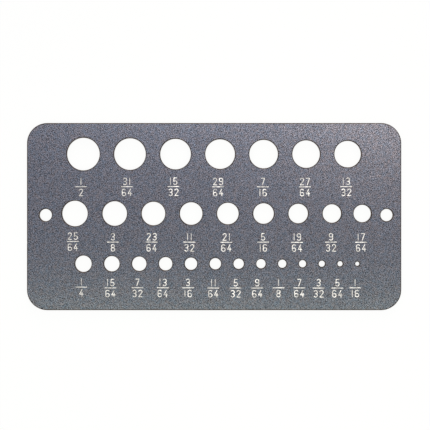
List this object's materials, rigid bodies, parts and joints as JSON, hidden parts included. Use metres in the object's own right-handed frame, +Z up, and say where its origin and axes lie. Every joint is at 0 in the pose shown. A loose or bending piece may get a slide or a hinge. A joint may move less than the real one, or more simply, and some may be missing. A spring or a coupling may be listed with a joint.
{
  "type": "drill size gauge",
  "caption": "Flat rectangular steel plate with rounded corners and rows of graded round holes that gauge drill sizes, with a hanging hole at each end.",
  "frame": {"origin": "centre of the plate's flat underside, which it lies on", "axes": "+X along the plate, from the large to the small holes of a row; +Y towards the row of largest holes; +Z up out of the marked face"},
  "size_m": [0.146, 0.073, 0.0016],
  "materials": {
    "plate_steel": "satin",
    "size_marks": "matte"
  },
  "bodies": {
    "root": {"gauge_plate": "plate_steel"}
  },
  "joints": []
}
